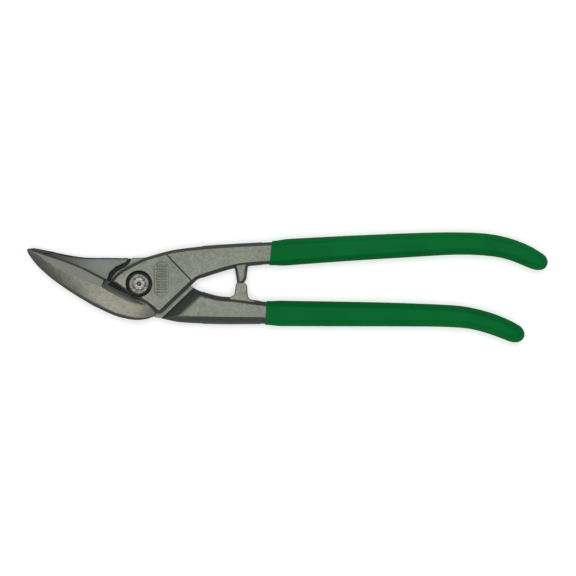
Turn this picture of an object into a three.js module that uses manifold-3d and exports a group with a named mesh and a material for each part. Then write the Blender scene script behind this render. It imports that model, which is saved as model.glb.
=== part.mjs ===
// Ideal-pattern sheet-metal snips, 280 mm long: two drop-forged halves that cross at one bolted pivot,
// each one blade, joint plate, handle and handle stop in a single forging, with dipped grips.
//
// Frame, in millimetres: the snips lie flat, closed. +Z is up and is the pivot axis, +X runs from the
// pivot to the handle ends, and +Y runs to the upper handle. The origin is on the pivot axis, on the
// surface that the snips lie on. The outlines below are in the same X and Y.
//
// Everything is drawn with the shear plane, where the two halves slide on each other, at z = 0, and is
// then raised to its place. The front half (lower blade, upper handle) is above that plane, and the
// rear half (upper blade, lower handle) is below it. A "side" of 1 is the front half, and -1 the rear.

import * as THREE from "three";
import { mergeVertices } from "three/addons/utils/BufferGeometryUtils.js";
import Module from "manifold-3d";

const wasm = await Module();
wasm.setup();

// Driving dimensions
const PLATE = 6.5; // joint plate, from the shear plane to its outer face
const HANDLE = 5.5; // half the handle's thickness
const COAT = 1.3; // dipped grip, over the handle
const SHEAR_HEIGHT = HANDLE + COAT; // the grips lie on the surface, and so does the bolt's head
const SLIDE_GAP = 0.05; // from the shear plane to each half
const STOP = 3.8; // half the thickness of a handle stop
const STOP_GAP = 0.15; // between the two stops with the snips closed
const FORGED_EDGE = [2.1, 4.1]; // how far in, and how far down, the sides of plates and handles are drafted

const BLADE = 4.8; // blade's full thickness
const BLADE_EDGE = [1.5, 3.1];
const STOP_EDGE = [0.9, 2.2];
const GROUND_SLOPE = 0.29; // fall of the ground bevel towards the cutting edge
const GROOVE = 1.7; // width of the relief groove behind the upper blade
const GROOVE_DEEP = 2.3;

const RAMP = 21.6; // from the pivot to where a handle starts to rise through the shear plane
const RAMP_RUN = 5.7; // how far it takes to reach full thickness
const STEP = 22; // from the pivot to the step down from the front plate to its handle
const FRONT_ANGLE = 43.3; // direction from the pivot of the front half's ramp and step, in degrees
const REAR_ANGLE = -46.4; // the same for the rear half
// Where each grip begins: how far from the pivot, and in which direction
const UPPER_MOUTH = [68.4, -6.6];
const LOWER_MOUTH = [69, -3.6];

const BORE = 4.1;
const SHANK = 4;
const THREAD = 3.3;
const HEAD = 7; // bolt head's radius
const HEAD_FLAT = 5.4; // from the axis to each of its two flats
const HEAD_DEEP = 3.2;
const HEAD_GAP = 0.2; // around the head in its recess
const RECESS = 7; // radius of the nut's recess in the front plate
const RECESS_FLOOR = 2.4; // over the shear plane
const SPRING = 6.2; // disc spring's radius
const SPRING_DEEP = 0.5;
const SPRING_CONE = 0.2; // how much higher its inner edge stands
const NUT = 5.7; // radius
const NUT_DEEP = 2.9;
const NUT_CHAMFER = 0.6;
const SEAT_GAP = 0.05; // drawn between parts that are clamped together
const DIMPLE = 1.3; // radius of the centre hole in the bolt's end
const BOLT_PROUD = 0.1; // how far the bolt's end stands out of the nut
const BOLT_CHAMFER = 0.3;
const ROUND = 48; // segments in a full turn

const GRIP_EDGE = [4, 4];
const GRIP_GAP = 0.2; // drawn between the grip and the handle inside it
const ROUNDING = 3; // facets across a grip's rounded edge
const SWEEP = 3; // facets between two points of a curved face
const CURVE = 2; // facets between two points of an outline
const LONGEST_CORNER = 1.5; // how far a sharp corner of an outline may move when it grows by one
const FAR = 400; // a size that reaches past the whole tool

// Outlines, anticlockwise. Each is a list of smooth edges, and an edge is the points its curve runs through.

const FRONT = outline(
  [[-15.6, 1.4], [-7.2, -4.6], [0.6, -9], [6.4, -13], [9.2, -15.8]],
  [[11.2, -16.2], [12.6, -15.3]],
  [[29.3, 0.5], [33, 2.9], [42.5, 6.1], [52, 8.7], [62, 10], [74, 10.7], [90, 11.9]],
  [[114, 13.6], [148, 15.7], [170, 16.9], [187, 16.4], [199, 14.3], [210.5, 9.7]],
  [[214.2, 8.6], [217.6, 9], [219.1, 11.8], [217.8, 14.4]],
  [[210, 19.2], [199.5, 23.3], [187, 25.8], [170, 26.5], [148, 26.1], [114, 24.7], [85, 23.2]],
  [[70, 22.4], [46, 21.1], [33, 20.1], [20, 18.5], [13.5, 17.1], [3.5, 14.2]],
  [[-1.1, 12], [-9.4, 7.5], [-13, 4.6], [-15.6, 1.4]],
);

const REAR = outline(
  [[-15.4, -1.6], [-12.6, -4.8], [-8, -8.6], [-2, -12.8], [4, -16.4], [8.6, -18.1]],
  [[13.5, -19.1], [20, -20.5], [26.4, -21.1], [33, -21.4], [46, -21.7], [66, -21.6], [100, -21.7]],
  [[150, -21.8], [168, -22.2], [179, -23.2], [190, -26.2], [200, -30]],
  [[203.2, -30.5], [205.9, -29.1], [206.5, -26.6], [204.8, -23.9]],
  [[199, -20.8], [190, -17.1], [178, -14], [165, -12.6], [130, -11.3], [90, -10.6]],
  [[76, -10.3], [66, -9.5], [58, -8.4], [50, -7.4], [42.5, -6.8], [33, -4.1]],
  [[29.4, -2.4]],
  [[14.4, 13.6], [13, 14.6]],
  [[3, 13.8], [-1.6, 12.4], [-8, 8], [-13.4, 1.8], [-15.4, -1.6]],
);

const LOWER_BLADE = outline(
  [[-59.8, 19.2], [-60.6, 18.2], [-59.9, 16.2]],
  [[-56.2, 11.1], [-51, 5.9], [-44.6, 0.7], [-35, -5.8], [-25.2, -11.7]],
  [[-15.5, -16.3], [-9, -18.5], [-2, -19.6], [3.8, -19.1], [8, -17.6]],
  [[9.8, -15]],
  [[0, -2]],
  [[-14, 0.8]],
  [[-18.4, 2.7], [-29.1, 8.1], [-38.9, 12.1], [-48.7, 15.4], [-59.8, 19.2]],
);

const UPPER_BLADE = outline(
  [[-59.9, 19], [-60.1, 18], [-59, 17.2]],
  [[-48.7, 12.8], [-38.9, 9.4], [-29, 5.2], [-18.4, 0.2], [-13, -2.4]],
  [[0, 0]],
  [[8, 14.4]],
  [[-2, 14.1], [-15, 14.2], [-26, 14.2], [-32, 14.6], [-40, 15.9], [-50, 18], [-56.5, 19.2], [-59.9, 19]],
);

// The hollow between the lower blade and the front plate, whose floor falls towards the plate. Its
// section is [distance from the pivot that way, height over the shear plane] points.
const POCKET = outline(
  [[-17.8, 3.4], [-20.2, -1.6]],
  [[-12.5, -6.2], [-6.6, -9.6], [-0.6, -11.6], [8.9, -16.4]],
  [[12, -20]],
  [[14, -12]],
  [[0, -2]],
  [[-14.2, 4]],
);
const POCKET_ANGLE = 243.4;
const POCKET_FALL = [[14, 5.9], [11.4, 4.8], [9.5, 3.9], [7.8, 2.7], [6.4, 1.6], [4, 0.1]];

// How each blade thins: [distance from the pivot in a direction, thickness] points
const LOWER_THIN_ANGLE = 221;
const LOWER_THIN = [[18, 5], [24, 4.75], [29, 4], [33, 2.7], [36, 1.4]];
const HEEL_THIN_ANGLE = -22;
const HEEL_THIN = [[-6, 5.1], [-1, 4.75], [5, 4.1], [10, 2.9], [16, 0.8]];
const UPPER_THIN_ANGLE = 158.5;
const UPPER_THIN = [[24, 5], [36, 4.7], [50, 3.7], [62, 2.1], [70, 0.9]];

// How each blade's inner face falls away from the shear plane, the same way
const LOWER_RELIEF_ANGLE = 248.5;
const LOWER_RELIEF = [[8, -0.1], [12, 0.1], [20, 0.35], [30, 0.8]];
const UPPER_RELIEF_ANGLE = 77;
const UPPER_RELIEF = [[-3, -0.05], [-2, 0], [1, 0.07], [4, 0.26], [7, 0.6], [10, 1.08], [13, 1.75]];

const UPPER_STOP = outline(
  [[50.6, 12]],
  [[51.8, 7], [52.7, 1.4], [53, STOP_GAP / 2]],
  [[55.3, STOP_GAP / 2]],
  [[57.3, 2.2], [57.9, 6], [58.6, 12]],
);

const LOWER_STOP = outline(
  [[47, -12], [49.6, -7.6], [51.2, -7], [52, -5.4], [52.6, -1.2], [53, -STOP_GAP / 2]],
  [[55.8, -STOP_GAP / 2]],
  [[57, -0.8], [57.5, -2.2], [57.6, -6], [58.6, -8.4], [62, -10], [65, -13]],
);

// The lower handle's outer side, which is drafted in two steps with the trimmed flash between them:
// [distance below the pivot, height over the shear plane] points
const OUTER_SIDE_ANGLE = -90.74;
const OUTER_SIDE = [[16.9, 6.5], [19.3, 1.9], [22, 0.3]];
const OUTER_SIDE_START = 16;

// The relief groove's centre line
const GROOVE_LINE = [[-4.9, 17], [-5.3, 13.4], [-7.4, 10.4], [-12.2, 8], [-16.2, 3.8], [-17.6, -1]];

// Where each blade's ground bevel begins: how far from the pivot, and in which direction
const LOWER_GROUND = [8.35, 250.3];
const UPPER_GROUND = [-2.4, 66.7];

/** A closed outline of smooth edges, each one a curve through its points. */
function outline(...edges) {
  const shape = new THREE.Shape();
  const [x, y] = edges[0][0];
  shape.moveTo(x, y);
  for (const edge of edges) {
    const points = edge.map((point) => new THREE.Vector2(...point));
    const ahead = points[0].equals(shape.currentPoint) ? points.slice(1) : points;
    if (ahead.length > 1) shape.splineThru(ahead);
    else if (ahead.length === 1) shape.lineTo(ahead[0].x, ahead[0].y);
  }
  shape.closePath();
  return shape;
}

// Solids

/** A closed geometry as a manifold-3d solid. */
function solid(geometry) {
  const bare = geometry.clone();
  bare.deleteAttribute("normal");
  bare.deleteAttribute("uv");
  const merged = mergeVertices(bare, 1e-4);
  return new wasm.Manifold(
    new wasm.Mesh({
      numProp: 3,
      vertProperties: merged.attributes.position.array,
      triVerts: new Uint32Array(merged.index.array),
    }),
  );
}

/** A named mesh of a solid, raised from the shear plane to its place. */
function piece(name, made, material) {
  const { numProp, numVert, vertProperties, triVerts } = made.getMesh();
  const position = new Float32Array(numVert * 3);
  for (let i = 0; i < numVert; i++) {
    position.set(vertProperties.subarray(i * numProp, i * numProp + 3), i * 3);
  }
  const geometry = new THREE.BufferGeometry();
  geometry.setAttribute("position", new THREE.BufferAttribute(position, 3));
  geometry.setIndex(new THREE.BufferAttribute(triVerts, 1));
  geometry.computeVertexNormals();
  const mesh = new THREE.Mesh(geometry, material);
  mesh.name = name;
  mesh.position.z = SHEAR_HEIGHT;
  return mesh;
}

/** Where each point of a closed outline moves when the outline grows by one, with sharp corners held back. */
function outward(contour) {
  return contour.map((point, i) => {
    const before = contour.at(i - 1);
    const after = contour[(i + 1) % contour.length];
    const sideBefore = point.clone().sub(before).normalize();
    const sideAfter = after.clone().sub(point).normalize();
    const middle = sideBefore.clone().add(sideAfter).normalize();
    const reach = Math.min(1 / middle.dot(sideAfter), LONGEST_CORNER);
    return new THREE.Vector2(middle.y, -middle.x).multiplyScalar(reach);
  });
}

/**
 * An outline between two heights, grown by `grow` all round. Its edges are drafted by [inward, along Z], or
 * rounded if that takes more facets than one.
 */
function slab(shape, { bottom, top, edge: [inward, along] = [0, 0], facets = 1, grow = 0 }) {
  const rings = [];
  for (let i = 0; i <= facets; i++) {
    const turn = (Math.PI / 2) * (i / facets);
    rings.push([grow - inward * (1 - Math.sin(turn)), bottom + along * (1 - Math.cos(turn))]);
  }
  for (let i = facets; i >= 0; i--) rings.push([rings[i][0], top + bottom - rings[i][1]]);

  const contour = shape.getPoints(CURVE);
  if (contour.at(-1).equals(contour[0])) contour.pop();
  const moves = outward(contour);
  const steps = rings.length - 1;
  const geometry = new THREE.ExtrudeGeometry(new THREE.Shape(contour), {
    depth: steps,
    steps,
    bevelEnabled: false,
  });
  const position = geometry.attributes.position;
  const at = new THREE.Vector3();
  for (let i = 0; i < position.count; i++) {
    at.fromBufferAttribute(position, i);
    const [growth, height] = rings[Math.round(at.z)];
    const move = moves[contour.findIndex((p) => Math.hypot(p.x - at.x, p.y - at.y) < 1e-4)];
    position.setXYZ(i, at.x + growth * move.x, at.y + growth * move.y, height);
  }
  return solid(geometry);
}

/** A prism across a direction from the pivot. Its section is [distance that way, height] points. */
function prism(section, angle) {
  const shape = new THREE.Shape(section.map((point) => new THREE.Vector2(...point)));
  const geometry = new THREE.ExtrudeGeometry(shape, { depth: FAR, bevelEnabled: false });
  geometry.translate(0, 0, -FAR / 2);
  geometry.rotateX(Math.PI / 2);
  geometry.rotateZ(THREE.MathUtils.degToRad(angle));
  return solid(geometry);
}

/** All that is further than a distance from the pivot, in a direction. */
function beyond(distance, angle) {
  const section = [[distance, -FAR], [FAR, -FAR], [FAR, FAR], [distance, FAR]];
  return prism(section, angle);
}

/** A body turned about the pivot axis, from a closed profile of [radius, height] points. */
function turned(profile) {
  const points = profile.map((point) => new THREE.Vector2(...point));
  const last = points[points.length - 1];
  if (points[0].x > 0 || last.x > 0) points.push(points[0].clone());
  return solid(new THREE.LatheGeometry(points, ROUND).rotateX(Math.PI / 2));
}

function disc(radius, bottom, top) {
  return turned([[0, bottom], [radius, bottom], [radius, top], [0, top]]);
}

/** The form of the bolt's head: a disc with two flats. */
function headForm(grow, bottom, top) {
  const between = new THREE.BoxGeometry(4 * HEAD, 2 * (HEAD_FLAT + grow), top - bottom);
  between.translate(0, 0, (top + bottom) / 2);
  return disc(HEAD + grow, bottom, top).intersect(solid(between));
}

// The two forged halves

/** All that a half leaves free for the other one: past the shear plane, up to its own ramp. */
function clearance(side, angle) {
  const past = -side * (PLATE + 1);
  const rampEnd = RAMP + (RAMP_RUN * (PLATE + 1)) / HANDLE;
  const section = [[-FAR, side * SLIDE_GAP], [RAMP, side * SLIDE_GAP], [rampEnd, past], [-FAR, past]];
  return prism(section, angle);
}

/** All on one side of a curved surface: past it along Z if `side` is 1, and before it if -1. */
function pastCurve(section, angle, side) {
  const curve = new THREE.SplineCurve(section.map((point) => new THREE.Vector2(...point)));
  const points = curve.getPoints(SWEEP * (section.length - 1)).map(({ x, y }) => [x, y]);
  const [first, last] = [points[0], points.at(-1)];
  return prism([...points, [last[0], side * FAR], [first[0], side * FAR]], angle);
}

/** The same section turned over, for the rear half. */
function below(section) {
  return section.map(([distance, height]) => [distance, -height]);
}

/** All that the ground bevel takes off a blade. */
function groundBevel([start, angle], side) {
  const reach = 20; // more than a blade's width
  const fall = GROUND_SLOPE * reach;
  const section = [
    [start - reach, side * (BLADE - fall)],
    [start + reach, side * (BLADE + fall)],
    [start - reach, side * (BLADE + fall)],
  ];
  return prism(section, angle);
}

function lowerBlade() {
  const pocket = slab(POCKET, { bottom: 0, top: 2 * PLATE });
  return slab(LOWER_BLADE, { bottom: -2, top: BLADE, edge: BLADE_EDGE })
    .subtract(pastCurve(LOWER_THIN, LOWER_THIN_ANGLE, 1))
    .subtract(pastCurve(HEEL_THIN, HEEL_THIN_ANGLE, 1))
    .subtract(groundBevel(LOWER_GROUND, 1))
    .subtract(pastCurve(LOWER_RELIEF, LOWER_RELIEF_ANGLE, -1).intersect(beyond(20, UPPER_THIN_ANGLE)))
    .subtract(pocket.intersect(pastCurve(POCKET_FALL, POCKET_ANGLE, 1)));
}

function upperBlade() {
  const ends = [new THREE.Vector2(-FAR, -1), new THREE.Vector2(-FAR, 17)];
  const tipward = new THREE.Shape([...groovePoints(0), ...ends]);
  const face = slab(tipward, { bottom: -BLADE, top: BLADE });
  return slab(UPPER_BLADE, { bottom: -BLADE, top: 2, edge: BLADE_EDGE })
    .subtract(pastCurve(below(UPPER_THIN), UPPER_THIN_ANGLE, -1))
    .subtract(groundBevel(UPPER_GROUND, -1))
    .subtract(face.intersect(pastCurve(below(UPPER_RELIEF), UPPER_RELIEF_ANGLE, 1)));
}

/** A joint plate and handle, still whole across the shear plane. The plate stands proud of the handle. */
function plateAndHandle(shape, angle) {
  const handle = slab(shape, { bottom: -HANDLE, top: HANDLE, edge: FORGED_EDGE });
  const plate = slab(shape, { bottom: -PLATE, top: PLATE, edge: FORGED_EDGE });
  return handle.add(plate.subtract(beyond(STEP, angle)));
}

/** What the dies leave off the lower handle's outer side, up to its grip. */
function outerSideWaste() {
  const top = OUTER_SIDE[0][1];
  const section = [...OUTER_SIDE, [FAR, top]];
  return prism(section, OUTER_SIDE_ANGLE)
    .add(prism(below(section), OUTER_SIDE_ANGLE))
    .intersect(beyond(OUTER_SIDE_START, 0))
    .subtract(beyond(...LOWER_MOUTH));
}

function stop(shape) {
  return slab(shape, { bottom: -STOP, top: STOP, edge: STOP_EDGE });
}

/** Points beside the relief groove's centre line, to its left if the offset is positive. */
function groovePoints(offset) {
  const middle = new THREE.SplineCurve(GROOVE_LINE.map((point) => new THREE.Vector2(...point)));
  const steps = 12;
  return middle.getPoints(steps).map((point, i) => {
    const along = middle.getTangent(i / steps);
    return point.add(new THREE.Vector2(-along.y, along.x).multiplyScalar(offset));
  });
}

/** The S-shaped groove between the upper blade's inner face and the rear plate. */
function reliefGroove() {
  const band = new THREE.Shape([...groovePoints(GROOVE / 2), ...groovePoints(-GROOVE / 2).reverse()]);
  return slab(band, { bottom: -GROOVE_DEEP, top: 2 });
}

function frontHalf() {
  return plateAndHandle(FRONT, FRONT_ANGLE)
    .add(lowerBlade())
    .add(stop(UPPER_STOP))
    .subtract(clearance(1, FRONT_ANGLE))
    .subtract(disc(BORE, -FAR, FAR))
    .subtract(disc(RECESS, RECESS_FLOOR, FAR));
}

function rearHalf() {
  return plateAndHandle(REAR, REAR_ANGLE)
    .add(upperBlade())
    .add(stop(LOWER_STOP))
    .subtract(clearance(-1, REAR_ANGLE))
    .subtract(outerSideWaste())
    .subtract(reliefGroove())
    .subtract(disc(BORE, -FAR, FAR))
    .subtract(headForm(HEAD_GAP, -FAR, headTop + SEAT_GAP));
}

// The pivot

const headTop = HEAD_DEEP - SHEAR_HEIGHT;
const springSeat = RECESS_FLOOR + SEAT_GAP;
const nutSeat = springSeat + SPRING_DEEP + SPRING_CONE + SEAT_GAP;
const nutTop = nutSeat + NUT_DEEP;

function pivotBolt() {
  const end = nutTop + BOLT_PROUD;
  const shank = turned([
    [0, headTop - HEAD_DEEP / 2],
    [SHANK, headTop - HEAD_DEEP / 2],
    [SHANK, nutSeat - SEAT_GAP],
    [THREAD, nutSeat - SEAT_GAP],
    [THREAD, end - BOLT_CHAMFER],
    [THREAD - BOLT_CHAMFER, end],
    [DIMPLE, end],
    [0, end - DIMPLE],
  ]);
  return shank.add(headForm(0, -SHEAR_HEIGHT, headTop));
}

function discSpring() {
  const hole = SHANK + SEAT_GAP;
  return turned([
    [hole, springSeat + SPRING_CONE],
    [SPRING, springSeat],
    [SPRING, springSeat + SPRING_DEEP],
    [hole, springSeat + SPRING_CONE + SPRING_DEEP],
  ]);
}

function pivotNut() {
  const hole = THREAD + SEAT_GAP;
  return turned([
    [hole, nutSeat],
    [NUT, nutSeat],
    [NUT, nutTop - NUT_CHAMFER],
    [NUT - NUT_CHAMFER, nutTop],
    [hole, nutTop],
  ]);
}

/** A dipped grip: a sleeve over the handle, open at its mouth. */
function grip(shape, [mouth, angle]) {
  const outer = HANDLE + COAT;
  const inner = HANDLE + GRIP_GAP;
  return slab(shape, { bottom: -outer, top: outer, edge: GRIP_EDGE, facets: ROUNDING, grow: COAT })
    .intersect(beyond(mouth, angle))
    .subtract(slab(shape, { bottom: -inner, top: inner, edge: FORGED_EDGE, grow: GRIP_GAP }));
}

// Assembly

const forged = new THREE.MeshStandardMaterial({ color: 0x8a8a80, roughness: 0.55, metalness: 0.8 });
const machined = new THREE.MeshStandardMaterial({ color: 0xa9aba6, roughness: 0.35, metalness: 0.9 });
const springSteel = new THREE.MeshStandardMaterial({ color: 0x5c5e5c, roughness: 0.45, metalness: 0.9 });
const dipped = new THREE.MeshStandardMaterial({ color: 0x046835, roughness: 0.4, metalness: 0 });

const group = new THREE.Group();
group.add(
  piece("front_half", frontHalf(), forged),
  piece("rear_half", rearHalf(), forged),
  piece("pivot_bolt", pivotBolt(), machined),
  piece("disc_spring", discSpring(), springSteel),
  piece("pivot_nut", pivotNut(), machined),
  piece("upper_grip", grip(FRONT, UPPER_MOUTH), dipped),
  piece("lower_grip", grip(REAR, LOWER_MOUTH), dipped),
);

export default group;
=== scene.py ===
"""Sheet-metal snips, closed and lying flat: drop-forged halves, turned pivot and dipped grips.

The frame is the part's own: +X from the pivot to the handle ends, +Y to the upper handle, +Z up along
the pivot axis. Lengths are in metres, and MM turns millimetres into them. The two halves slide on each
other in the shear plane. A "side" of 1 is the front half, above that plane, and -1 the rear half.
"""

import math

import bpy
import numpy as np
from mathutils import Euler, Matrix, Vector


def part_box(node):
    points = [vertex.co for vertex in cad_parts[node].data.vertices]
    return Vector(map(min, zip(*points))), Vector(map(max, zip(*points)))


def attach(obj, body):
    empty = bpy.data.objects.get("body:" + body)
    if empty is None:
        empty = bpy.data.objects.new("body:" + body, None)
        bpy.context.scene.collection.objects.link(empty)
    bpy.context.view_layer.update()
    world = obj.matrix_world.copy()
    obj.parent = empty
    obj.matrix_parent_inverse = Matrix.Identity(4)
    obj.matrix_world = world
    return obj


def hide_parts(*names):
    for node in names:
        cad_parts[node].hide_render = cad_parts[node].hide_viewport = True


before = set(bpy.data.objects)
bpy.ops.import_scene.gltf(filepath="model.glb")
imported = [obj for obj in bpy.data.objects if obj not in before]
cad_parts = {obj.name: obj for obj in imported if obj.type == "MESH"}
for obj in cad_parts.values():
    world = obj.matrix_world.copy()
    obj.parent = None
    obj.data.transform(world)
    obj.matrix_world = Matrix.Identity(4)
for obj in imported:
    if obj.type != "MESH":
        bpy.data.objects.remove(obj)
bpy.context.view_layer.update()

MM = 0.001
HALF_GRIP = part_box("upper_grip")[1].z / 2  # the shear plane's height, at the middle of the grips
PLATE = 6.5 * MM  # joint plate, from the shear plane to its outer face
HANDLE = 5.5 * MM  # half the handle's thickness
BLADE = 4.8 * MM
SLIDE_GAP = 0.05 * MM
RAMP = 21.6 * MM  # from the pivot to the foot of the handle's ramp
RAMP_ANGLE = math.atan2(5.5, 5.7)
RAMP_SPARED = 0.3 * MM  # how far the grinder stays off the ramp
STEP = 22 * MM  # from the pivot to the step between joint plate and handle
STEP_LEAN = 0.8 * MM  # how far the step's wall leans back
FRONT_ANGLE = 43.3  # direction of each half's ramp and step from the pivot, in degrees
REAR_ANGLE = -46.4
BLADE_ANGLE = 150.6  # direction in which the ground bevels begin, and how far out
BLADE_START = 16.85 * MM
BEVEL_ANGLE = math.atan(0.29)
LOWER_BEVEL = (8.35 * MM, 250.3)  # where a bevel's plane starts: how far out, and in which direction
UPPER_BEVEL = (-2.4 * MM, 66.7)
FRONT_FLASH = (34 * MM, 66 * MM)  # from where to where a handle shows its flash line
REAR_FLASH = (34 * MM, 65 * MM)
FLASH_HEIGHT = 0.9 * MM
FLASH_PROUD = 0.22 * MM
UPPER_MOUTH = (68.4 * MM, -6.6)  # where a grip starts: how far out, and in which direction
LOWER_MOUTH = (69 * MM, -3.6)
BORE = 4.1 * MM
SHANK = 4 * MM
THREAD = 3.3 * MM
HEAD = 7 * MM
HEAD_FLAT = 5.4 * MM  # from the axis to each of its two flats
HEAD_TOP = 3.6 * MM  # below the shear plane
HEAD_GAP = 0.2 * MM
SEAT_GAP = 0.05 * MM
RECESS = 7 * MM  # the nut's, in the front plate
RECESS_FLOOR = 2.4 * MM
RECESS_CHAMFER = 0.25 * MM
NUT = 5.7 * MM
NUT_SEAT = 3.2 * MM
NUT_TOP = 6.1 * MM
STAKE = 0.75 * MM  # radius of the punch's ball
STAKE_PROUD = 0.3 * MM  # how high its middle stays over the nut
STAKE_ANGLE = 38  # direction of the first punch mark
GROOVE = 1.7 * MM  # width of the relief groove behind the upper blade
GROOVE_DEEP = 2.4 * MM
GROOVE_CHAMFER = 0.5 * MM
GROOVE_LINE = [(-4.9, 17), (-5.3, 13.4), (-7.4, 10.4), (-12.2, 8), (-16.2, 3.8), (-17.6, -1)]  # in mm
GROOVE_BED = [(-19, -3.5), (-0.5, 14.1), (-2.6, -0.7)]  # the box that its near-black scale and painted shade lie in, in mm
LOWER_EDGE = (-17, 2.2)  # a point of the lower blade's edge, in mm
LOWER_EDGE_FALL = 0.395  # how steeply the edge falls from there, towards the pivot
POCKET_ANGLE = 243.4  # direction in which the pocket's floor rises from the front plate's side
POCKET_BED = [(6, 8.1), (-14.6, 8), (1, 3.2)]  # the box that its near-black scale and painted shade lie in: out that way, across and up, in mm
BELLY = (-12 * MM, -12 * MM, HALF_GRIP + BLADE)  # the middle of the painted highlight on the lower blade's face
BLADE_ROOT = (-9 * MM, 6 * MM, HALF_GRIP)  # the place on the upper blade's inner face that is painted lightest; its painted shade deepens away from it
PANEL_PLACE = (12 * MM, 2.6 * MM, 0)
PANEL_WIDTH, PANEL_LENGTH = 7 * MM, 18 * MM
PANEL_DEEP = 0.5 * MM
PANEL_RIM = 0.5 * MM
PANEL_PROUD = 0.25 * MM  # how high the rim stands over the plate
PANEL_RIBS = 9
RIB_MARGIN = 0.8 * MM  # from a rib's end to the rim
COAT = 1.3 * MM  # thickness of a grip's wall
COAT_AT_MOUTH = 0.45  # the share of it at the mouth
COAT_RUN = 9 * MM  # how far from the mouth it takes to reach the full thickness
STOCK = 0.6 * MM  # left on a half's outer faces, which are ground
INNER_STOCK = 0.06 * MM  # the same on the handle's other face, which is barely touched
FORGING_GRAIN = 0.4 * MM
GRIP_GRAIN = 0.5 * MM
FAR = 0.4

# Camera


def make_camera():
    """Looks straight down on the snips through a long lens, so that nothing seems to lean."""
    distance = 1.5
    seen = 0.3095  # width of the picture at the height of the plates' faces
    height = 0.0125
    data = bpy.data.cameras.new("camera")
    data.lens = data.sensor_width * (distance - height) / seen
    camera = bpy.data.objects.new("camera", data)
    camera.location = (0.0801, -0.0023, distance)
    bpy.context.scene.collection.objects.link(camera)
    bpy.context.scene.camera = camera


make_camera()

# Modelling


def select_only(piece):
    bpy.ops.object.select_all(action="DESELECT")
    piece.select_set(True)
    bpy.context.view_layer.objects.active = piece


def apply_modifier(piece, kind, **settings):
    modifier = piece.modifiers.new(kind.title(), kind)
    for key, value in settings.items():
        setattr(modifier, key, value)
    select_only(piece)
    bpy.ops.object.modifier_apply(modifier=modifier.name)


def settle(piece):
    """Moves a piece's place into its mesh."""
    select_only(piece)
    bpy.ops.object.transform_apply(location=True, rotation=True, scale=True)
    return piece


def copy_of(node, name):
    """A piece that starts as a CAD node's mesh, with its loose triangles joined."""
    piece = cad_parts[node].copy()
    piece.data = piece.data.copy()
    piece.name = piece.data.name = name
    piece.parent = None
    for key in list(piece.keys()):
        del piece[key]
    bpy.context.scene.collection.objects.link(piece)
    piece.data.materials.clear()
    select_only(piece)
    bpy.ops.object.mode_set(mode="EDIT")
    bpy.ops.mesh.select_all(action="SELECT")
    bpy.ops.mesh.remove_doubles(threshold=0.002 * MM)
    bpy.ops.mesh.customdata_custom_splitnormals_clear()
    bpy.ops.object.mode_set(mode="OBJECT")
    return piece


def points(piece):
    """The places of a piece's vertices, one row each."""
    places = np.empty(len(piece.data.vertices) * 3)
    piece.data.vertices.foreach_get("co", places)
    return places.reshape(-1, 3)


def select_points(piece, chosen):
    """Selects these vertices of a piece, and what lies between them, for edit mode."""
    select_only(piece)
    bpy.ops.object.mode_set(mode="EDIT")
    bpy.ops.mesh.select_mode(type="VERT")
    bpy.ops.mesh.select_all(action="DESELECT")
    bpy.ops.object.mode_set(mode="OBJECT")
    piece.data.vertices.foreach_set("select", chosen)
    bpy.ops.object.mode_set(mode="EDIT")


def move_points(piece, chosen, way):
    select_points(piece, chosen)
    bpy.ops.transform.translate(value=way)
    bpy.ops.object.mode_set(mode="OBJECT")


def away(distance, angle, across=0.0, z=0.0):
    """The point that far from the pivot axis in a direction, that far to the left, over the shear plane."""
    turn = math.radians(angle)
    ahead = Vector((math.cos(turn), math.sin(turn), 0))
    left = Vector((-math.sin(turn), math.cos(turn), 0))
    return ahead * distance + left * across + Vector((0, 0, HALF_GRIP + z))


def slope_block(distance, angle, z, slope, side):
    """A block resting on a plane, to cut with. The plane runs through that point, and rises by `slope`
    away from the pivot. The block is above it if `side` is 1, and hangs below it if -1."""
    size = 1.5 * FAR
    tilt = Euler((0, -slope, math.radians(angle)))
    up = tilt.to_matrix() @ Vector((0, 0, side * size / 2))
    bpy.ops.mesh.primitive_cube_add(size=size, location=away(distance, angle, z=z) + up, rotation=tilt)
    return settle(bpy.context.object)


def block(low, high, angle=0.0):
    """A box to cut with, between two corners, each one [distance from the pivot, across, height]."""
    middle = [(a + b) / 2 for a, b in zip(low, high)]
    bpy.ops.mesh.primitive_cube_add(
        size=1,
        location=away(middle[0], angle, middle[1], middle[2]),
        rotation=(0, 0, math.radians(angle)),
        scale=[abs(b - a) for a, b in zip(low, high)],
    )
    return settle(bpy.context.object)


def cylinder(radius, bottom, top, vertices=96, centre=(0, 0)):
    """An upright cylinder about the pivot axis, or another centre, with its ends over the shear plane."""
    bpy.ops.mesh.primitive_cylinder_add(
        vertices=vertices,
        radius=radius,
        depth=top - bottom,
        location=(*centre, HALF_GRIP + (top + bottom) / 2),
    )
    return settle(bpy.context.object)


def boolean(piece, tool, operation="DIFFERENCE", keep=False):
    apply_modifier(piece, "BOOLEAN", object=tool, operation=operation, solver="MANIFOLD")
    if not keep:
        bpy.data.objects.remove(tool)
    return piece


# The forged halves

GROUND, SCALE_AND_SHADE, HOLLOW = 1, 2, 3  # a face's finish: ground, near-black scale with painted shade, or hollow-ground; 0 is forged


def face_values(piece, kind):
    """The middles or the normals of a piece's faces, one row each."""
    values = np.empty(len(piece.data.polygons) * 3)
    piece.data.polygons.foreach_get(kind, values)
    return values.reshape(-1, 3)


def face_finishes(piece):
    finishes = np.empty(len(piece.data.polygons), dtype=np.int32)
    piece.data.polygons.foreach_get("material_index", finishes)
    return finishes


def finish_faces(piece, finish, choose):
    """Gives one of the finishes to the faces that `choose` picks by their middles, in mm from the pivot at
    the shear plane, and their normals."""
    finishes = face_finishes(piece)
    middles = face_values(piece, "center") / MM - [0, 0, HALF_GRIP / MM]
    finishes[choose(middles, face_values(piece, "normal"))] = finish
    piece.data.polygons.foreach_set("material_index", finishes)


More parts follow.
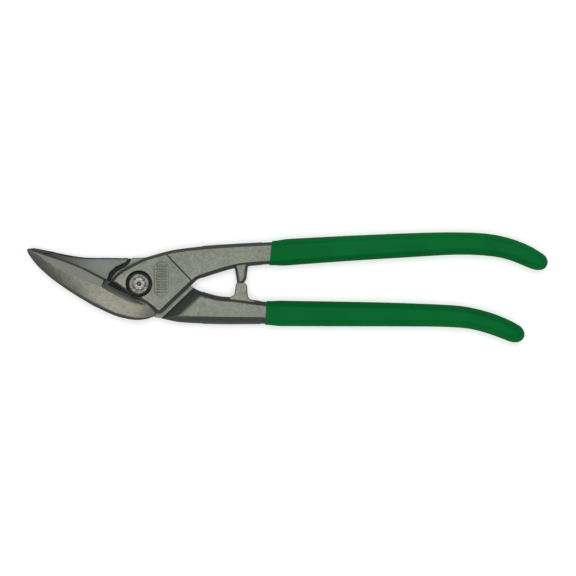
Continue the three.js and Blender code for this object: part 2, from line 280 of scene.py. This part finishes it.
def between(values, low, high):
    return (values > low) & (values < high)


def keep_crisp(piece, chosen):
    """Keeps the border of these faces crisp when the piece is shaded smooth."""
    select_points(piece, np.zeros(len(piece.data.vertices), dtype=bool))
    bpy.ops.mesh.select_mode(type="FACE")
    bpy.ops.object.mode_set(mode="OBJECT")
    piece.data.polygons.foreach_set("select", chosen)
    bpy.ops.object.mode_set(mode="EDIT")
    bpy.ops.mesh.region_to_loop()
    bpy.ops.mesh.mark_sharp()
    bpy.ops.object.mode_set(mode="OBJECT")


def keep_ground_faces_crisp(piece):
    """Keeps the borders crisp of all that was cut flat, and of the ground bevel."""
    height = np.abs(face_values(piece, "center")[:, 2] - HALF_GRIP)
    level = np.abs(face_values(piece, "normal")[:, 2]) > 0.99999
    for plane in (PLATE, HANDLE, SLIDE_GAP):
        keep_crisp(piece, level & (np.abs(height - plane) < 0.005 * MM))
    keep_crisp(piece, face_finishes(piece) == GROUND)


def faced_block(side, angle):
    """What the grinder takes off a half's outer face: all above the joint plate, and all above the handle
    past a step whose wall leans back."""
    step = block([STEP, -FAR, side * HANDLE], [FAR, FAR, side * 3 * PLATE], angle)
    ahead = away(1, angle) - away(0, angle)
    places = points(step)
    inner = places @ np.array(ahead) < STEP + MM
    outer = (places[:, 2] - HALF_GRIP) * side > 2 * PLATE
    lean = STEP_LEAN * (3 * PLATE - HANDLE) / (PLATE - HANDLE)
    move_points(step, inner & outer, -ahead * lean)
    plate = block([-FAR, -FAR, side * PLATE], [FAR / 2, FAR, side * 3 * PLATE], angle)
    return boolean(step, plate, "UNION")


def slide_block(side, angle):
    """All that a half leaves free for the other one, up to its own ramp, whose forged face it spares."""
    slide = block([-FAR, -FAR, side * SLIDE_GAP], [RAMP, FAR, -side * 2 * PLATE], angle)
    ahead = away(1, angle) - away(0, angle)
    places = points(slide)
    end = places @ np.array(ahead) > RAMP - MM
    deep = (HALF_GRIP - places[:, 2]) * side > PLATE
    fall = 2 * PLATE / math.tan(RAMP_ANGLE)
    move_points(slide, end & deep, ahead * (fall - RAMP_SPARED))
    return slide


def flash_line(piece, start, end):
    """The seam that the two dies leave along the handle's sides, where the flash was trimmed off."""
    seam = piece.copy()
    seam.data = piece.data.copy()
    bpy.context.scene.collection.objects.link(seam)
    low, high = -FLASH_HEIGHT / 2, FLASH_HEIGHT / 2
    boolean(seam, block([start, -FAR, low], [end, FAR, high]), "INTERSECT")
    apply_modifier(seam, "DISPLACE", strength=FLASH_PROUD, mid_level=0)
    boolean(piece, seam, "UNION")


def soften(piece, chosen, iterations):
    """Rounds off some more the shape that these vertices make."""
    group = piece.vertex_groups.new(name="soft")
    group.add(np.flatnonzero(chosen).tolist(), 1.0, "REPLACE")
    apply_modifier(piece, "SMOOTH", factor=0.5, iterations=iterations, vertex_group="soft")
    piece.vertex_groups.clear()


def forging(node, name, side, angle):
    """A half with the soft edges of a forging, then ground and machined where the real one is. Its flat
    faces are given stock before they are softened, so that the grinder leaves them flat and to size."""
    piece = copy_of(node, name)
    height = (points(piece)[:, 2] - HALF_GRIP) * side
    near = 0.02 * MM
    move_points(piece, np.abs(height - SLIDE_GAP) < near, (0, 0, -side * 2 * STOCK))
    for level, stock in ((PLATE, STOCK), (HANDLE, STOCK), (-HANDLE, -INNER_STOCK)):
        move_points(piece, np.abs(height - level) < near, (0, 0, side * stock))
    apply_modifier(piece, "REMESH", mode="VOXEL", voxel_size=FORGING_GRAIN)
    apply_modifier(piece, "SMOOTH", factor=0.5, iterations=6)
    places = points(piece)
    ahead = places @ np.array(away(1, angle) - away(0, angle))
    depth = (HALF_GRIP - places[:, 2]) * side
    soften(piece, (ahead > RAMP + 2 * MM) & (ahead < RAMP + 9 * MM) & (depth > 2 * MM), 40)
    boolean(piece, faced_block(side, angle))
    boolean(piece, block([0, -FAR, -side * HANDLE], [FAR, FAR, -side * 3 * PLATE], angle))
    boolean(piece, slide_block(side, angle))
    boolean(piece, cylinder(BORE, -2 * PLATE, 2 * PLATE))
    return piece


def grind_bevel(piece, start, angle, side):
    """Grinds the flat bevel along a blade's cutting edge."""
    bevel = slope_block(start, angle, side * (BLADE - 0.06 * MM), side * BEVEL_ANGLE, side)
    boolean(bevel, block([BLADE_START, -FAR, -2 * PLATE], [FAR, FAR, 2 * PLATE], BLADE_ANGLE), "INTERSECT")
    boolean(piece, bevel)
    tilt = Euler((0, -side * BEVEL_ANGLE, math.radians(angle))).to_matrix() @ Vector((0, 0, side))

    def bevel_faces(middles, normals):
        return (normals @ np.array(tilt) > 0.9995) & (middles[:, 0] < -15)

    finish_faces(piece, GROUND, bevel_faces)


def panel_block(bottom, top, grow=0.0):
    """A block with the panel's outline, straight at the sides and round at the ends."""
    radius = PANEL_WIDTH / 2 + grow
    reach = (PANEL_LENGTH - PANEL_WIDTH) / 2
    made = block([-radius, -reach, bottom], [radius, reach, top])
    for end in (-1, 1):
        boolean(made, cylinder(radius, bottom, top, 64, (0, end * reach)), "UNION")
    return made


def rib_reach(y):
    """From the panel's middle line to the end of the rib that lies that far along it."""
    past_straight = max(0, abs(y) - (PANEL_LENGTH - PANEL_WIDTH) / 2)
    return math.sqrt((PANEL_WIDTH / 2) ** 2 - past_straight**2) - RIB_MARGIN


def move(piece, way):
    select_only(piece)
    bpy.ops.transform.translate(value=way)
    return settle(piece)


def stamp_panel(piece):
    """A plain ribbed panel on the front plate, sunk a little, inside a raised rim."""
    rim = panel_block(PLATE - MM, PLATE + PANEL_PROUD, grow=PANEL_RIM)
    apply_modifier(rim, "BEVEL", width=0.2 * MM, segments=2, limit_method="ANGLE")
    boolean(piece, move(rim, PANEL_PLACE), "UNION")
    floor = panel_block(PLATE - PANEL_DEEP, PLATE + MM)
    pitch = (PANEL_LENGTH - PANEL_WIDTH / 3) / PANEL_RIBS
    half_rib = 0.3 * pitch
    for i in range(PANEL_RIBS):
        y = (i - (PANEL_RIBS - 1) / 2) * pitch
        reach = rib_reach(y)
        rib = block([-reach, y - half_rib, PLATE - MM], [reach, y + half_rib, PLATE + 0.15 * MM])
        apply_modifier(rib, "BEVEL", width=0.3 * MM, segments=3, limit_method="ANGLE")
        boolean(floor, rib)
    boolean(piece, move(floor, PANEL_PLACE))


def machine_recess(piece):
    """The round recess that the nut lies in, with a chamfer at its mouth."""
    boolean(piece, cylinder(RECESS, RECESS_FLOOR, 2 * PLATE, 128))
    half = 0.6 * MM
    bpy.ops.mesh.primitive_cone_add(
        vertices=128,
        radius1=RECESS - half,
        radius2=RECESS + half,
        depth=2 * half,
        location=(0, 0, HALF_GRIP + PLATE - RECESS_CHAMFER),
    )
    boolean(piece, settle(bpy.context.object))


def recess_faces(middles, normals):
    x, y, z = middles.T
    return (np.hypot(x, y) < RECESS / MM + 0.02) & (z < PLATE / MM - 0.4)


def pocket_faces(middles, normals):
    """The bottom of the pocket between the lower blade and the front plate."""
    x, y, z = middles.T
    angle = math.radians(POCKET_ANGLE)
    out = x * math.cos(angle) + y * math.sin(angle)
    across = y * math.cos(angle) - x * math.sin(angle)
    inside = [between(values, *limits) for values, limits in zip((out, across, z), POCKET_BED)]
    return np.all(inside, axis=0) & (normals[:, 2] > 0.2)


def front_forging():
    piece = forging("front_half", "front_forging", 1, FRONT_ANGLE)
    flash_line(piece, *FRONT_FLASH)
    grind_bevel(piece, *LOWER_BEVEL, 1)
    machine_recess(piece)
    stamp_panel(piece)
    # these faces take the near-black scale with painted shade, where shade falls in the recess and the
    # pocket
    finish_faces(piece, SCALE_AND_SHADE, recess_faces)
    finish_faces(piece, SCALE_AND_SHADE, pocket_faces)
    return piece


def groove_band(bottom, top, foot, mouth):
    """A band along the relief groove, to cut with, that is `foot` wide below and `mouth` wide above."""
    bpy.ops.curve.primitive_nurbs_path_add()
    path = bpy.context.object
    spline = path.data.splines[0]
    spline.points.add(len(GROOVE_LINE) - len(spline.points))
    for point, (x, y) in zip(spline.points, GROOVE_LINE):
        point.co = (x * MM, y * MM, HALF_GRIP + (bottom + top) / 2, 1)
    spline.use_endpoint_u = True
    spline.order_u = 3
    path.data.resolution_u = 10
    path.data.extrude = (top - bottom) / 2
    path.data.dimensions = "3D"
    select_only(path)
    bpy.ops.object.convert(target="MESH")
    band = settle(bpy.context.object)
    low = points(band)[:, 2] < HALF_GRIP + (bottom + top) / 2
    group = band.vertex_groups.new(name="width")
    group.add(np.flatnonzero(low).tolist(), foot / mouth, "REPLACE")
    group.add(np.flatnonzero(~low).tolist(), 1.0, "REPLACE")
    apply_modifier(band, "SOLIDIFY", thickness=mouth, offset=0, vertex_group="width")
    return band


def machine_head_seat(piece):
    """The seat with two flats that keeps the bolt's head from turning."""
    seat = cylinder(HEAD + HEAD_GAP, -2 * PLATE, -HEAD_TOP + SEAT_GAP, 128)
    flats = HEAD_FLAT + HEAD_GAP
    boolean(seat, block([-FAR, -flats, -3 * PLATE], [FAR, flats, 0]), "INTERSECT")
    boolean(piece, seat)


def hollow_ground_faces(middles, normals):
    x, y, z = middles.T
    return (x < -5) & (z > -3.2) & (normals[:, 2] > 0.4)


def groove_faces(middles, normals):
    """The bottom and the lower walls of the relief groove."""
    line = np.array(GROOVE_LINE)
    nearest = np.full(len(middles), np.inf)
    for start, end in zip(line, line[1:]):
        way = end - start
        share = np.clip(((middles[:, :2] - start) @ way) / (way @ way), 0, 1)
        foot = start + share[:, None] * way
        nearest = np.minimum(nearest, np.hypot(*(middles[:, :2] - foot).T))
    inside = [between(values, *limits) for values, limits in zip(middles.T, GROOVE_BED)]
    return np.all(inside, axis=0) & (nearest < GROOVE / MM / 2 + 0.05)


def rear_forging():
    piece = forging("rear_half", "rear_forging", -1, REAR_ANGLE)
    x, y, z = points(piece).T / MM
    over_edge = y - (LOWER_EDGE[1] - LOWER_EDGE_FALL * (x - LOWER_EDGE[0]))
    blade = (x < -8) & (over_edge > 3.5) & (np.abs(z - HALF_GRIP / MM + 1.6) < 1.5)
    soften(piece, blade, 25)
    flash_line(piece, *REAR_FLASH)
    grind_bevel(piece, *UPPER_BEVEL, -1)
    boolean(piece, groove_band(-GROOVE_DEEP, MM, GROOVE, GROOVE))
    boolean(piece, groove_band(-GROOVE_CHAMFER, 0.4 * MM, GROOVE, GROOVE + 1.2 * MM))
    machine_head_seat(piece)
    finish_faces(piece, HOLLOW, hollow_ground_faces)
    # the groove's faces take the near-black scale with painted shade, where shade falls in it
    finish_faces(piece, SCALE_AND_SHADE, groove_faces)
    return piece


# The pivot


# The rings that are turned on an end face, each one [how far in from the rim, rise from the last], in mm

NUT_RINGS = [
    (0.12, 0.2),
    (0.6, 0.35),
    (0.85, 0),
    (1, -0.14),
    (1.45, 0),
    (1.6, 0.1),
    (2, 0),
    (2.2, -0.12),
    (2.7, 0),
]
BOLT_RINGS = [
    (0.35, 0.3),
    (0.75, 0.03),
    (0.85, -0.1),
    (1.2, 0),
    (1.3, 0.1),
    (1.85, 0.04),
    (2.2, -0.14),
    (2.95, -0.75),
    (3.18, -0.12),
]


def turn_rings(piece, rings):
    """Works a cylinder's top face into rings."""
    height = points(piece)[:, 2]
    select_points(piece, height > height.max() - 0.01 * MM)
    bpy.ops.mesh.select_mode(type="FACE")
    last = 0
    for inset, rise in rings:
        bpy.ops.mesh.inset(thickness=(inset - last) * MM, use_even_offset=True)
        bpy.ops.transform.translate(value=(0, 0, rise * MM))
        last = inset
    bpy.ops.object.mode_set(mode="OBJECT")


def stake(piece):
    """Four punch marks where the nut meets the bolt's end, which lock the two together."""
    for quarter in range(4):
        bpy.ops.mesh.primitive_ico_sphere_add(
            subdivisions=3,
            radius=STAKE,
            location=away(THREAD, STAKE_ANGLE + 90 * quarter, z=NUT_TOP + STAKE_PROUD),
        )
        boolean(piece, settle(bpy.context.object))


def pivot_nut():
    end_rise = 0.55 * MM  # what the first two rings add
    piece = cylinder(NUT, NUT_SEAT, NUT_TOP - end_rise, 128)
    piece.name = "round_nut"
    turn_rings(piece, NUT_RINGS)
    boolean(piece, cylinder(THREAD + 0.03 * MM, -PLATE, 2 * PLATE, 128))
    stake(piece)
    return piece


def pivot_bolt():
    piece = cylinder(HEAD, -HALF_GRIP, -HEAD_TOP, 128)
    boolean(piece, block([-FAR, -HEAD_FLAT, -2 * PLATE], [FAR, HEAD_FLAT, 0]), "INTERSECT")
    apply_modifier(piece, "BEVEL", width=0.35 * MM, segments=3, limit_method="ANGLE")
    boolean(piece, cylinder(SHANK, -HEAD_TOP - 0.1 * MM, NUT_SEAT - SEAT_GAP), "UNION")
    end = cylinder(THREAD, 0, NUT_TOP - 0.2 * MM, 128)
    turn_rings(end, BOLT_RINGS)
    boolean(piece, end, "UNION")
    stake(piece)
    piece.name = "staked_bolt"
    return piece


# The grips


def dipped_grip(name, handle, mouth, angle):
    """The skin that the handle takes in the dipping tank: thin at its mouth, and thicker past it."""
    piece = handle.copy()
    piece.data = handle.data.copy()
    piece.name = name
    piece.data.materials.clear()
    bpy.context.scene.collection.objects.link(piece)
    boolean(piece, block([mouth - 2 * MM, -FAR, -3 * PLATE], [FAR, FAR, 3 * PLATE], angle), "INTERSECT")
    apply_modifier(piece, "REMESH", mode="VOXEL", voxel_size=GRIP_GRAIN)
    apply_modifier(piece, "SMOOTH", factor=0.5, iterations=8)
    ahead = np.array(away(1, angle) - away(0, angle))
    past = np.clip((points(piece) @ ahead - mouth) / COAT_RUN, 0, 1)
    share = COAT_AT_MOUTH + (1 - COAT_AT_MOUTH) * past * past * (3 - 2 * past)
    group = piece.vertex_groups.new(name="coat")
    for index, weight in enumerate(share):
        group.add([index], float(weight), "REPLACE")
    apply_modifier(piece, "DISPLACE", strength=COAT, mid_level=0, vertex_group="coat")
    piece.vertex_groups.clear()
    apply_modifier(piece, "REMESH", mode="VOXEL", voxel_size=GRIP_GRAIN)
    apply_modifier(piece, "SMOOTH", factor=0.5, iterations=14)
    boolean(piece, block([-FAR, -FAR, -3 * PLATE], [mouth, FAR, 3 * PLATE], angle))
    boolean(piece, handle, keep=True)
    return piece


# Finishes


def start_material(name, colour, roughness, metallic):
    material = bpy.data.materials.new(name)
    material.use_nodes = True
    shader = material.node_tree.nodes["Principled BSDF"]
    shader.inputs["Base Color"].default_value = (*colour, 1)
    shader.inputs["Roughness"].default_value = roughness
    shader.inputs["Metallic"].default_value = metallic
    return material, material.node_tree.nodes, material.node_tree.links, shader


def place(nodes, links, scale=(1, 1, 1), turn=0.0):
    """The point on the piece, in metres, stretched and turned for a pattern."""
    where = nodes.new("ShaderNodeTexCoord")
    mapping = nodes.new("ShaderNodeMapping")
    mapping.inputs["Scale"].default_value = scale
    mapping.inputs["Rotation"].default_value = (0, 0, turn)
    links.new(where.outputs["Object"], mapping.inputs["Vector"])
    return mapping.outputs["Vector"]


def noise(nodes, links, where, scale, detail=3.0, rough=0.5):
    texture = nodes.new("ShaderNodeTexNoise")
    texture.inputs["Scale"].default_value = scale
    texture.inputs["Detail"].default_value = detail
    texture.inputs["Roughness"].default_value = rough
    links.new(where, texture.inputs["Vector"])
    return texture.outputs["Fac"]


def ramp(nodes, links, value, stops):
    """A colour or grey for each value between stops of [value, colour]."""
    node = nodes.new("ShaderNodeValToRGB")
    first, last = node.color_ramp.elements
    first.position, first.color = stops[0][0], (*stops[0][1], 1)
    last.position, last.color = stops[-1][0], (*stops[-1][1], 1)
    for position, colour in stops[1:-1]:
        node.color_ramp.elements.new(position).color = (*colour, 1)
    links.new(value, node.inputs["Fac"])
    return node.outputs["Color"]


def spread(nodes, links, value, low, high):
    """A value from 0.3 to 0.7, as noise gives, spread over a range."""
    node = nodes.new("ShaderNodeMapRange")
    node.inputs["From Min"].default_value = 0.3
    node.inputs["From Max"].default_value = 0.7
    node.inputs["To Min"].default_value = low
    node.inputs["To Max"].default_value = high
    links.new(value, node.inputs["Value"])
    return node.outputs["Result"]


def bump(nodes, links, shader, height, depth, strength=1.0, under=None):
    node = nodes.new("ShaderNodeBump")
    node.inputs["Strength"].default_value = strength
    node.inputs["Distance"].default_value = depth
    links.new(height, node.inputs["Height"])
    if under is not None:
        links.new(under, node.inputs["Normal"])
    links.new(node.outputs["Normal"], shader.inputs["Normal"])
    return node.outputs["Normal"]


def flatness(nodes, links, steep, flat):
    """1 on faces that lie flat, as the blasting and the wheel reach them, down to 0 on steep ones."""
    where = nodes.new("ShaderNodeTexCoord")
    parts = nodes.new("ShaderNodeSeparateXYZ")
    links.new(where.outputs["Normal"], parts.inputs["Vector"])
    size = nodes.new("ShaderNodeMath")
    size.operation = "ABSOLUTE"
    links.new(parts.outputs["Z"], size.inputs[0])
    node = nodes.new("ShaderNodeMapRange")
    node.interpolation_type = "SMOOTHSTEP"
    node.inputs["From Min"].default_value = steep
    node.inputs["From Max"].default_value = flat
    links.new(size.outputs["Value"], node.inputs["Value"])
    return node.outputs["Result"]


def near_place(nodes, links, centre, reach):
    """1 at a place on the piece, down to 0 that far from it."""
    where = nodes.new("ShaderNodeTexCoord")
    apart = nodes.new("ShaderNodeVectorMath")
    apart.operation = "DISTANCE"
    apart.inputs[1].default_value = centre
    links.new(where.outputs["Object"], apart.inputs[0])
    node = nodes.new("ShaderNodeMapRange")
    node.interpolation_type = "SMOOTHSTEP"
    node.inputs["From Min"].default_value = reach
    node.inputs["From Max"].default_value = 0.3 * reach
    links.new(apart.outputs["Value"], node.inputs["Value"])
    return node.outputs["Result"]


def blend_colours(nodes, links, share, first, second, blend="MIX"):
    """One colour over another, all of it or a share."""
    node = nodes.new("ShaderNodeMix")
    node.data_type = "RGBA"
    node.blend_type = blend
    node.inputs["Factor"].default_value = 1
    if share is not None:
        links.new(share, node.inputs["Factor"])
    links.new(first, node.inputs["A"])
    links.new(second, node.inputs["B"])
    return node.outputs["Result"]


def forged_steel():
    """Blasted and phosphated: a fine even grain, cloudy from place to place, and darker down the sides,
    with a painted highlight about the lower blade's belly.
    """
    material, nodes, links, shader = start_material("forged steel", (0.24, 0.235, 0.21), 0.5, 0.9)
    where = place(nodes, links)
    clouds = noise(nodes, links, where, 60, 3, 0.5)
    face = ramp(nodes, links, clouds, [(0.3, (0.197, 0.208, 0.174)), (0.7, (0.236, 0.246, 0.204))])
    speckle = noise(nodes, links, where, 1100, 2, 0.7)
    skin = ramp(nodes, links, speckle, [(0.3, (0.165, 0.186, 0.168)), (0.7, (0.235, 0.256, 0.232))])
    # painted highlight: the face is coloured lighter about the lower blade's belly, fading out 26 mm from
    # it
    painted_highlight = ramp(nodes, links, clouds, [(0.3, (0.280, 0.268, 0.226)), (0.7, (0.320, 0.302, 0.252))])
    face = blend_colours(nodes, links, near_place(nodes, links, BELLY, 26 * MM), face, painted_highlight)
    grain = noise(nodes, links, where, 480, 3, 0.75)
    worn = ramp(nodes, links, grain, [(0.32, (0.74, 0.76, 0.76)), (0.68, (1.08, 1.06, 1.03))])
    face = blend_colours(nodes, links, None, face, worn, "MULTIPLY")
    share = flatness(nodes, links, 0.82, 0.98)
    links.new(blend_colours(nodes, links, share, skin, face), shader.inputs["Base Color"])
    links.new(spread(nodes, links, speckle, 0.44, 0.56), shader.inputs["Roughness"])
    coarse = bump(nodes, links, shader, noise(nodes, links, where, 420, 3, 0.6), 0.08 * MM, 0.35)
    bump(nodes, links, shader, noise(nodes, links, where, 2600, 2, 0.6), 0.03 * MM, 0.8, coarse)
    return material


def ground_steel():
    """Ground across the edge, then phosphated thinner than the forged skin."""
    material, nodes, links, shader = start_material("ground steel", (0.27, 0.265, 0.235), 0.4, 0.95)
    across = place(nodes, links, (1, 0.06, 1), math.radians(-68))
    lines = noise(nodes, links, across, 2400, 3, 0.6)
    colour = ramp(nodes, links, lines, [(0.3, (0.150, 0.156, 0.138)), (0.7, (0.225, 0.228, 0.198))])
    links.new(colour, shader.inputs["Base Color"])
    links.new(spread(nodes, links, lines, 0.34, 0.46), shader.inputs["Roughness"])
    bump(nodes, links, shader, lines, 0.02 * MM, 0.6)
    return material


def hollow_ground_steel_with_shade():
    """The upper blade's inner face: ground hollow and oiled dark, with painted shade that takes it to
    near-black away from the pivot, so that it is lightest near there.
    """
    material, nodes, links, shader = start_material("hollow-ground steel", (0.15, 0.16, 0.14), 0.48, 0.9)
    across = place(nodes, links, (1, 0.08, 1), math.radians(-66))
    lines = noise(nodes, links, across, 1900, 3, 0.6)
    # painted shade: near-black away from the pivot, on top of the oiled dark of the finish; the lighter
    # colour near the blade's root is where the least shade is painted
    dark = ramp(nodes, links, lines, [(0.3, (0.040, 0.044, 0.038)), (0.7, (0.060, 0.064, 0.054))])
    light = ramp(nodes, links, lines, [(0.3, (0.138, 0.146, 0.128)), (0.7, (0.176, 0.184, 0.160))])
    share = near_place(nodes, links, BLADE_ROOT, 38 * MM)
    links.new(blend_colours(nodes, links, share, dark, light), shader.inputs["Base Color"])
    links.new(spread(nodes, links, lines, 0.42, 0.54), shader.inputs["Roughness"])
    bump(nodes, links, shader, lines, 0.02 * MM, 0.5)
    return material


# painted shade: near-black colour where shade falls in hollows, on top of the real skin of scale
def scale_and_painted_shade():
    """Near-black for grooves, recesses and the pocket: the thick dark skin left there, with the shade that
    falls in them painted in.
    """
    material, nodes, links, shader = start_material("scale with painted shade", (0.012, 0.018, 0.015), 0.65, 0.3)
    where = place(nodes, links)
    patches = noise(nodes, links, where, 500, 4, 0.6)
    colour = ramp(nodes, links, patches, [(0.3, (0.003, 0.009, 0.007)), (0.75, (0.014, 0.025, 0.020))])
    links.new(colour, shader.inputs["Base Color"])
    bump(nodes, links, shader, noise(nodes, links, where, 1800, 3, 0.6), 0.04 * MM, 0.7)
    return material


def turned_steel(name, dark, light, roughness):
    """Turned on a lathe, with fine rings about the pivot and some tarnish."""
    material, nodes, links, shader = start_material(name, light, roughness, 1.0)
    where = nodes.new("ShaderNodeTexCoord")
    flat = nodes.new("ShaderNodeVectorMath")
    flat.operation = "MULTIPLY"
    flat.inputs[1].default_value = (1, 1, 0)
    links.new(where.outputs["Object"], flat.inputs[0])
    radius = nodes.new("ShaderNodeVectorMath")
    radius.operation = "LENGTH"
    links.new(flat.outputs["Vector"], radius.inputs[0])
    rings = nodes.new("ShaderNodeTexNoise")
    rings.noise_dimensions = "1D"
    rings.inputs["Scale"].default_value = 3800
    rings.inputs["Detail"].default_value = 2
    links.new(radius.outputs["Value"], rings.inputs["W"])
    tarnish = noise(nodes, links, place(nodes, links), 650, 4, 0.65)
    colour = ramp(nodes, links, tarnish, [(0.32, dark), (0.62, light)])
    links.new(colour, shader.inputs["Base Color"])
    rough = spread(nodes, links, tarnish, roughness + 0.12, roughness - 0.06)
    links.new(rough, shader.inputs["Roughness"])
    cut = bump(nodes, links, shader, rings.outputs["Fac"], 0.05 * MM, 0.8)
    bump(nodes, links, shader, tarnish, 0.04 * MM, 0.5, cut)
    return material


def spring_steel():
    """Blued spring strip."""
    material, nodes, links, shader = start_material("spring steel", (0.03, 0.035, 0.035), 0.45, 0.9)
    patches = noise(nodes, links, place(nodes, links), 900, 3)
    colour = ramp(nodes, links, patches, [(0.3, (0.014, 0.018, 0.018)), (0.7, (0.045, 0.050, 0.048))])
    links.new(colour, shader.inputs["Base Color"])
    links.new(spread(nodes, links, patches, 0.38, 0.52), shader.inputs["Roughness"])
    return material


def dipped_vinyl():
    """Plastisol as it comes from the oven: an even colour, with a satin skin that is faintly uneven."""
    material, nodes, links, shader = start_material("dipped vinyl", (0, 0.1456, 0.0347), 0.42, 0.0)
    where = place(nodes, links)
    shade = noise(nodes, links, where, 55, 3)
    colour = ramp(nodes, links, shade, [(0.3, (0, 0.168, 0.0315)), (0.7, (0, 0.1926, 0.0368))])
    links.new(colour, shader.inputs["Base Color"])
    rough = spread(nodes, links, noise(nodes, links, where, 300, 3), 0.36, 0.44)
    links.new(rough, shader.inputs["Roughness"])
    shader.inputs["Specular IOR Level"].default_value = 0.04
    runs = noise(nodes, links, place(nodes, links, (0.35, 1, 1)), 160, 2)
    slow = bump(nodes, links, shader, runs, 0.12 * MM, 0.35)
    bump(nodes, links, shader, noise(nodes, links, where, 1500, 2), 0.012 * MM, 0.4, slow)
    return material


def lit_floor():
    """White acrylic lit from below, which all but clears the shadows."""
    material, _, _, shader = start_material("lit floor", (0.9, 0.9, 0.9), 0.9, 0.0)
    shader.inputs["Emission Color"].default_value = (1, 1, 1, 1)
    shader.inputs["Emission Strength"].default_value = 0.5
    return material


# Assembly


def finish_piece(piece, body, node, materials, smooth=30):
    """Gives a piece its materials, one for each finish of its faces, and puts it in its node's place."""
    piece.data.name = piece.name
    finishes = face_finishes(piece)
    piece.data.materials.clear()
    for material in materials:
        piece.data.materials.append(material)
    piece.data.polygons.foreach_set("material_index", np.minimum(finishes, len(materials) - 1))
    select_only(piece)
    bpy.ops.object.shade_smooth_by_angle(angle=math.radians(smooth))
    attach(piece, body)
    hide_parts(node)


def assemble():
    steels = [forged_steel(), ground_steel(), scale_and_painted_shade(), hollow_ground_steel_with_shade()]
    nut_steel = turned_steel("turned nut", (0.085, 0.083, 0.075), (0.25, 0.242, 0.222), 0.38)
    bolt_steel = turned_steel("turned bolt", (0.15, 0.146, 0.134), (0.42, 0.407, 0.376), 0.33)
    vinyl = dipped_vinyl()
    front = front_forging()
    rear = rear_forging()
    for half in (front, rear):
        keep_ground_faces_crisp(half)
    upper_grip = dipped_grip("upper_dipped_grip", front, *UPPER_MOUTH)
    lower_grip = dipped_grip("lower_dipped_grip", rear, *LOWER_MOUTH)
    finish_piece(front, "front", "front_half", steels)
    finish_piece(rear, "rear", "rear_half", steels)
    finish_piece(pivot_nut(), "rear", "pivot_nut", [nut_steel])
    finish_piece(pivot_bolt(), "rear", "pivot_bolt", [bolt_steel])
    finish_piece(upper_grip, "front", "upper_grip", [vinyl], 60)
    finish_piece(lower_grip, "rear", "lower_grip", [vinyl], 60)
    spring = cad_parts["disc_spring"]
    spring.data.materials.clear()
    spring.data.materials.append(spring_steel())


assemble()

# Floor and lights


def area_light(name, place, aim, size, watts):
    data = bpy.data.lights.new(name, "AREA")
    data.shape = "RECTANGLE"
    data.size, data.size_y = size
    data.energy = watts
    light = bpy.data.objects.new(name, data)
    light.location = place
    light.rotation_mode = "QUATERNION"
    light.rotation_quaternion = (Vector(aim) - Vector(place)).to_track_quat("-Z", "Y")
    bpy.context.scene.collection.objects.link(light)


def make_stage():
    bpy.ops.mesh.primitive_plane_add(size=6, location=(0, 0, 0))
    floor = bpy.context.object
    floor.name = "floor"
    floor.data.materials.append(lit_floor())
    floor.visible_glossy = False
    middle = (0.08, 0, 0)
    area_light("far softbox", (0.08, 0.5, 1.7), middle, (1.1, 0.6), 9)
    area_light("near softbox", (0.08, -0.5, 1.7), middle, (1.1, 0.6), 7.5)
    world = bpy.data.worlds.new("studio")
    world.use_nodes = True
    world.node_tree.nodes["Background"].inputs["Color"].default_value = (1, 1, 1, 1)
    world.node_tree.nodes["Background"].inputs["Strength"].default_value = 0.2
    bpy.context.scene.world = world
    bpy.context.scene.view_settings.view_transform = "Standard"


make_stage()
